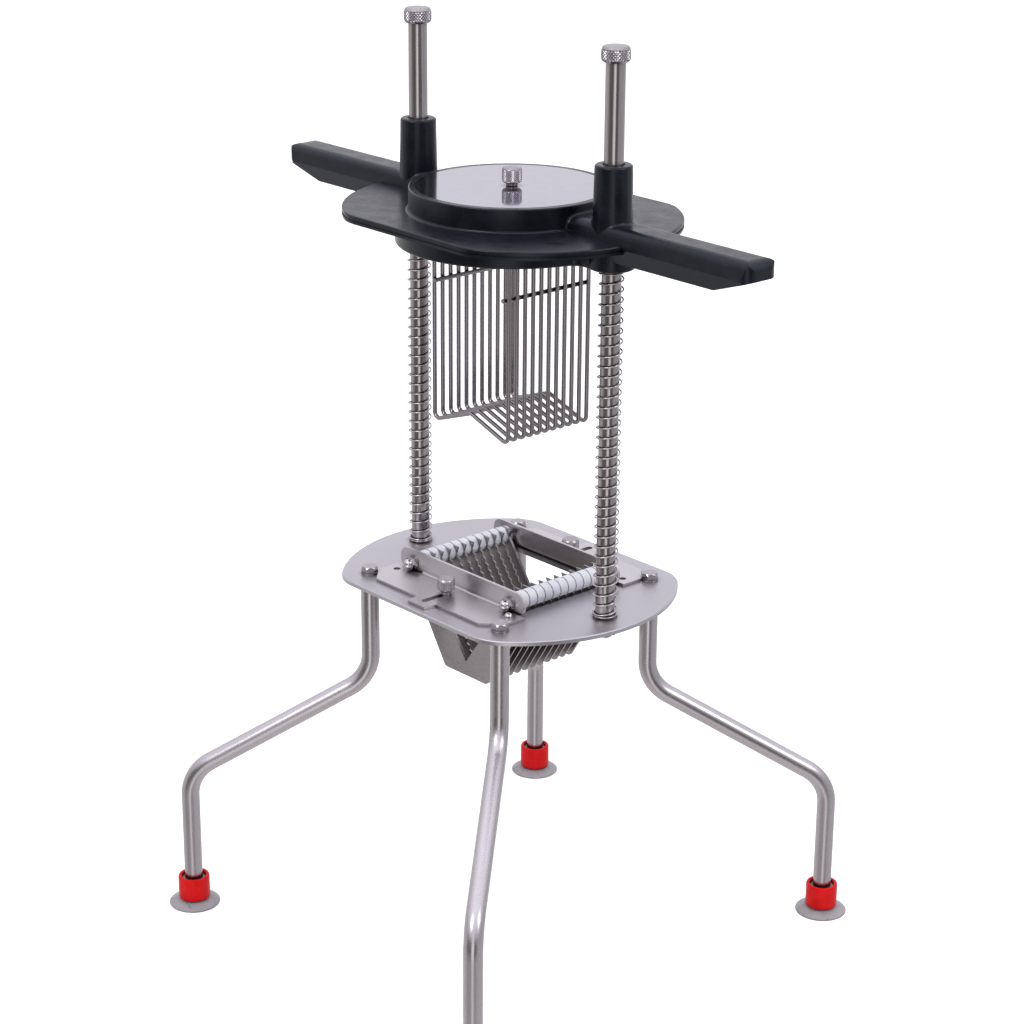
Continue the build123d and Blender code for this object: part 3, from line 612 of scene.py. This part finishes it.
def make_floor():
    """Pale paper floor. Its middle shows softly in the metal as a painted reflection: to glossy
    rays it is half see-through and glows grey; the rest doesn't show in it.
    """
    g = Graph("floor_paper_mat")
    fibre = g.noise(60.0, 4.0, 0.6)
    paper = g.ramp(fibre, [(0.3, (0.88, 0.88, 0.885)), (0.7, (0.91, 0.91, 0.915))])
    g.link(paper, g.shader.inputs["Base Color"])
    g.set(Roughness=0.9, Specular_IOR_Level=0.1)
    # painted reflection: a grey glow that only glossy rays see
    soft = g.tree.nodes.new("ShaderNodeEmission")
    soft.inputs["Color"].default_value = (0.66, 0.62, 0.65, 1.0)
    pick = g.tree.nodes.new("ShaderNodeMixShader")
    g.link(g.tree.nodes.new("ShaderNodeLightPath").outputs["Is Glossy Ray"], pick.inputs[0])
    g.link(g.shader.outputs[0], pick.inputs[1])
    beyond = g.tree.nodes.new("ShaderNodeBsdfTransparent")
    half = g.tree.nodes.new("ShaderNodeMixShader")
    half.inputs[0].default_value = 0.5
    g.link(beyond.outputs[0], half.inputs[1])
    g.link(soft.outputs[0], half.inputs[2])
    g.link(half.outputs[0], pick.inputs[2])
    g.link(pick.outputs[0], g.tree.nodes["Material Output"].inputs["Surface"])
    around = 96
    circle = [2 * math.pi * k / around for k in range(around)]
    inner, outer = ([(reach * math.cos(a), reach * math.sin(a), -FLOOR_DROP) for a in circle]
                    for reach in (FLOOR_MIDDLE, FLOOR_REACH))
    disc = [tuple(range(around))]
    ring = [(k, (k + 1) % around, around + (k + 1) % around, around + k) for k in range(around)]
    for name, verts, faces, seen in (("floor_middle", inner, disc, True),
                                     ("floor", outer + inner, ring, False)):
        mesh = bpy.data.meshes.new(name)
        mesh.from_pydata(verts, [], faces)
        mesh.materials.append(g.mat)
        floor = bpy.data.objects.new(name, mesh)
        bpy.context.scene.collection.objects.link(floor)
        floor.visible_glossy = seen


make_floor()


def grey(level, warm=0.0):
    """A grey, a little warmer or cooler."""
    return (level * (1 + warm), level, level * (1 - warm))


# Round the studio: 0.5 is towards the camera, 0 and 1 are behind the object.
BANDS = [
    (0.0, grey(0.98)), (0.14, grey(0.78)), (0.22, grey(0.66)), (0.27, grey(0.58)),
    (0.32, grey(0.20, 0.05)), (0.43, grey(0.17, 0.05)), (0.46, grey(1.0)), (0.50, grey(1.45)),
    (0.53, grey(0.16, 0.03)), (0.585, grey(0.16, 0.03)), (0.63, grey(0.52, -0.04)),
    (0.84, grey(0.60, -0.04)), (0.91, grey(0.95)), (1.0, grey(0.98)),
]
# From straight down at 0, through level at 0.5, to straight up at 1.
SKY = [
    (0.0, grey(0.80)), (0.30, grey(0.7)), (0.56, grey(0.68)), (0.66, (0.86, 0.85, 0.97)),
    (0.80, (1.12, 1.12, 1.25)), (1.0, (1.38, 1.38, 1.52)),
]
# How much of the sky covers the bands, at the same heights.
COVER = [
    (0.0, grey(1.0)), (0.12, grey(1.0)), (0.24, grey(0.0)), (0.54, grey(0.0)),
    (0.68, grey(0.75)), (1.0, grey(1.0)),
]


def make_world():
    """A white studio: pale behind and above, with dark gaps on the camera's side."""
    world = bpy.data.worlds.new("studio")
    bpy.context.scene.world = world
    world.use_nodes = True
    tree = world.node_tree
    tree.nodes.clear()
    new = tree.nodes.new
    link = tree.links.new

    def value(operation, a, b):
        """One sum, of outputs or plain numbers."""
        node = new("ShaderNodeMath")
        node.operation = operation
        for socket, given in zip(node.inputs, (a, b)):
            if isinstance(given, (int, float)):
                socket.default_value = given
            else:
                link(given, socket)
        return node.outputs[0]

    def ramp(source, stops):
        """Colours that change softly along a value."""
        node = new("ShaderNodeValToRGB")
        node.color_ramp.interpolation = "EASE"
        for i, (place, colour) in enumerate(stops):
            elements = node.color_ramp.elements
            stop = elements[i] if i < 2 else elements.new(place)
            stop.position = place
            stop.color = (*colour, 1.0)
        link(source, node.inputs["Fac"])
        return node.outputs["Color"]

    split = new("ShaderNodeSeparateXYZ")
    link(new("ShaderNodeTexCoord").outputs["Generated"], split.inputs["Vector"])
    # the angle is 0 towards the camera and grows to the camera's right
    towards = CAMERA_AZIMUTH - math.pi / 2
    around = value("ARCTAN2", split.outputs["Y"], split.outputs["X"])
    angle = value("SUBTRACT", around, towards)
    turns = value("ADD", value("DIVIDE", angle, 2 * math.pi), 1.5)
    # every whole turn starts again at 0
    fraction = new("ShaderNodeMath")
    fraction.operation = "FRACT"
    link(turns, fraction.inputs[0])
    height = value("ADD", value("MULTIPLY", split.outputs["Z"], 0.5), 0.5)
    mix = new("ShaderNodeMix")
    mix.data_type = "RGBA"
    link(ramp(height, COVER), mix.inputs[0])
    link(ramp(fraction.outputs[0], BANDS), mix.inputs[6])
    link(ramp(height, SKY), mix.inputs[7])
    studio = new("ShaderNodeBackground")
    link(mix.outputs[2], studio.inputs["Color"])
    plain = new("ShaderNodeBackground")
    plain.inputs["Color"].default_value = (1.0, 1.0, 1.0, 1.0)
    pick = new("ShaderNodeMixShader")
    link(new("ShaderNodeLightPath").outputs["Is Camera Ray"], pick.inputs[0])
    link(studio.outputs[0], pick.inputs[1])
    link(plain.outputs[0], pick.inputs[2])
    link(pick.outputs[0], new("ShaderNodeOutputWorld").inputs["Surface"])


make_world()


def add_light(data, place, aim, seen):
    """Puts a light at a place, turned to its aim; seen says whether the metal mirrors it."""
    obj = bpy.data.objects.new(data.name, data)
    obj.location = place
    obj.rotation_mode = "QUATERNION"
    obj.rotation_quaternion = (Vector(aim) - Vector(place)).to_track_quat("-Z", "Y")
    obj.visible_glossy = seen
    bpy.context.scene.collection.objects.link(obj)


def soft_box(name, place, aim, size, power, seen=True):
    """A square panel of soft light."""
    data = bpy.data.lights.new(name, "AREA")
    data.shape = "RECTANGLE"
    data.size = data.size_y = size
    data.energy = power
    add_light(data, place, aim, seen)


def ceiling_glow(strength, spread):
    """Wide soft light from straight above, as from a white ceiling."""
    data = bpy.data.lights.new("ceiling_glow", "SUN")
    data.energy = strength
    data.angle = math.radians(spread)
    add_light(data, (0, 0, 3), (0, 0, 0), False)


soft_box("top_box", (0.2, 0.1, 2.6), (0, 0, 0.2), 2.4, 24.0, seen=False)
soft_box("key_box", (0.2, -1.9, 1.9), (0, 0, 0.4), 0.9, 14.0)
soft_box("fill_box", (1.9, 0.6, 1.6), (0, 0, 0.3), 0.9, 8.0)
ceiling_glow(0.9, 80.0)

bpy.context.scene.view_settings.view_transform = "Standard"
bpy.context.scene.view_settings.look = "None"
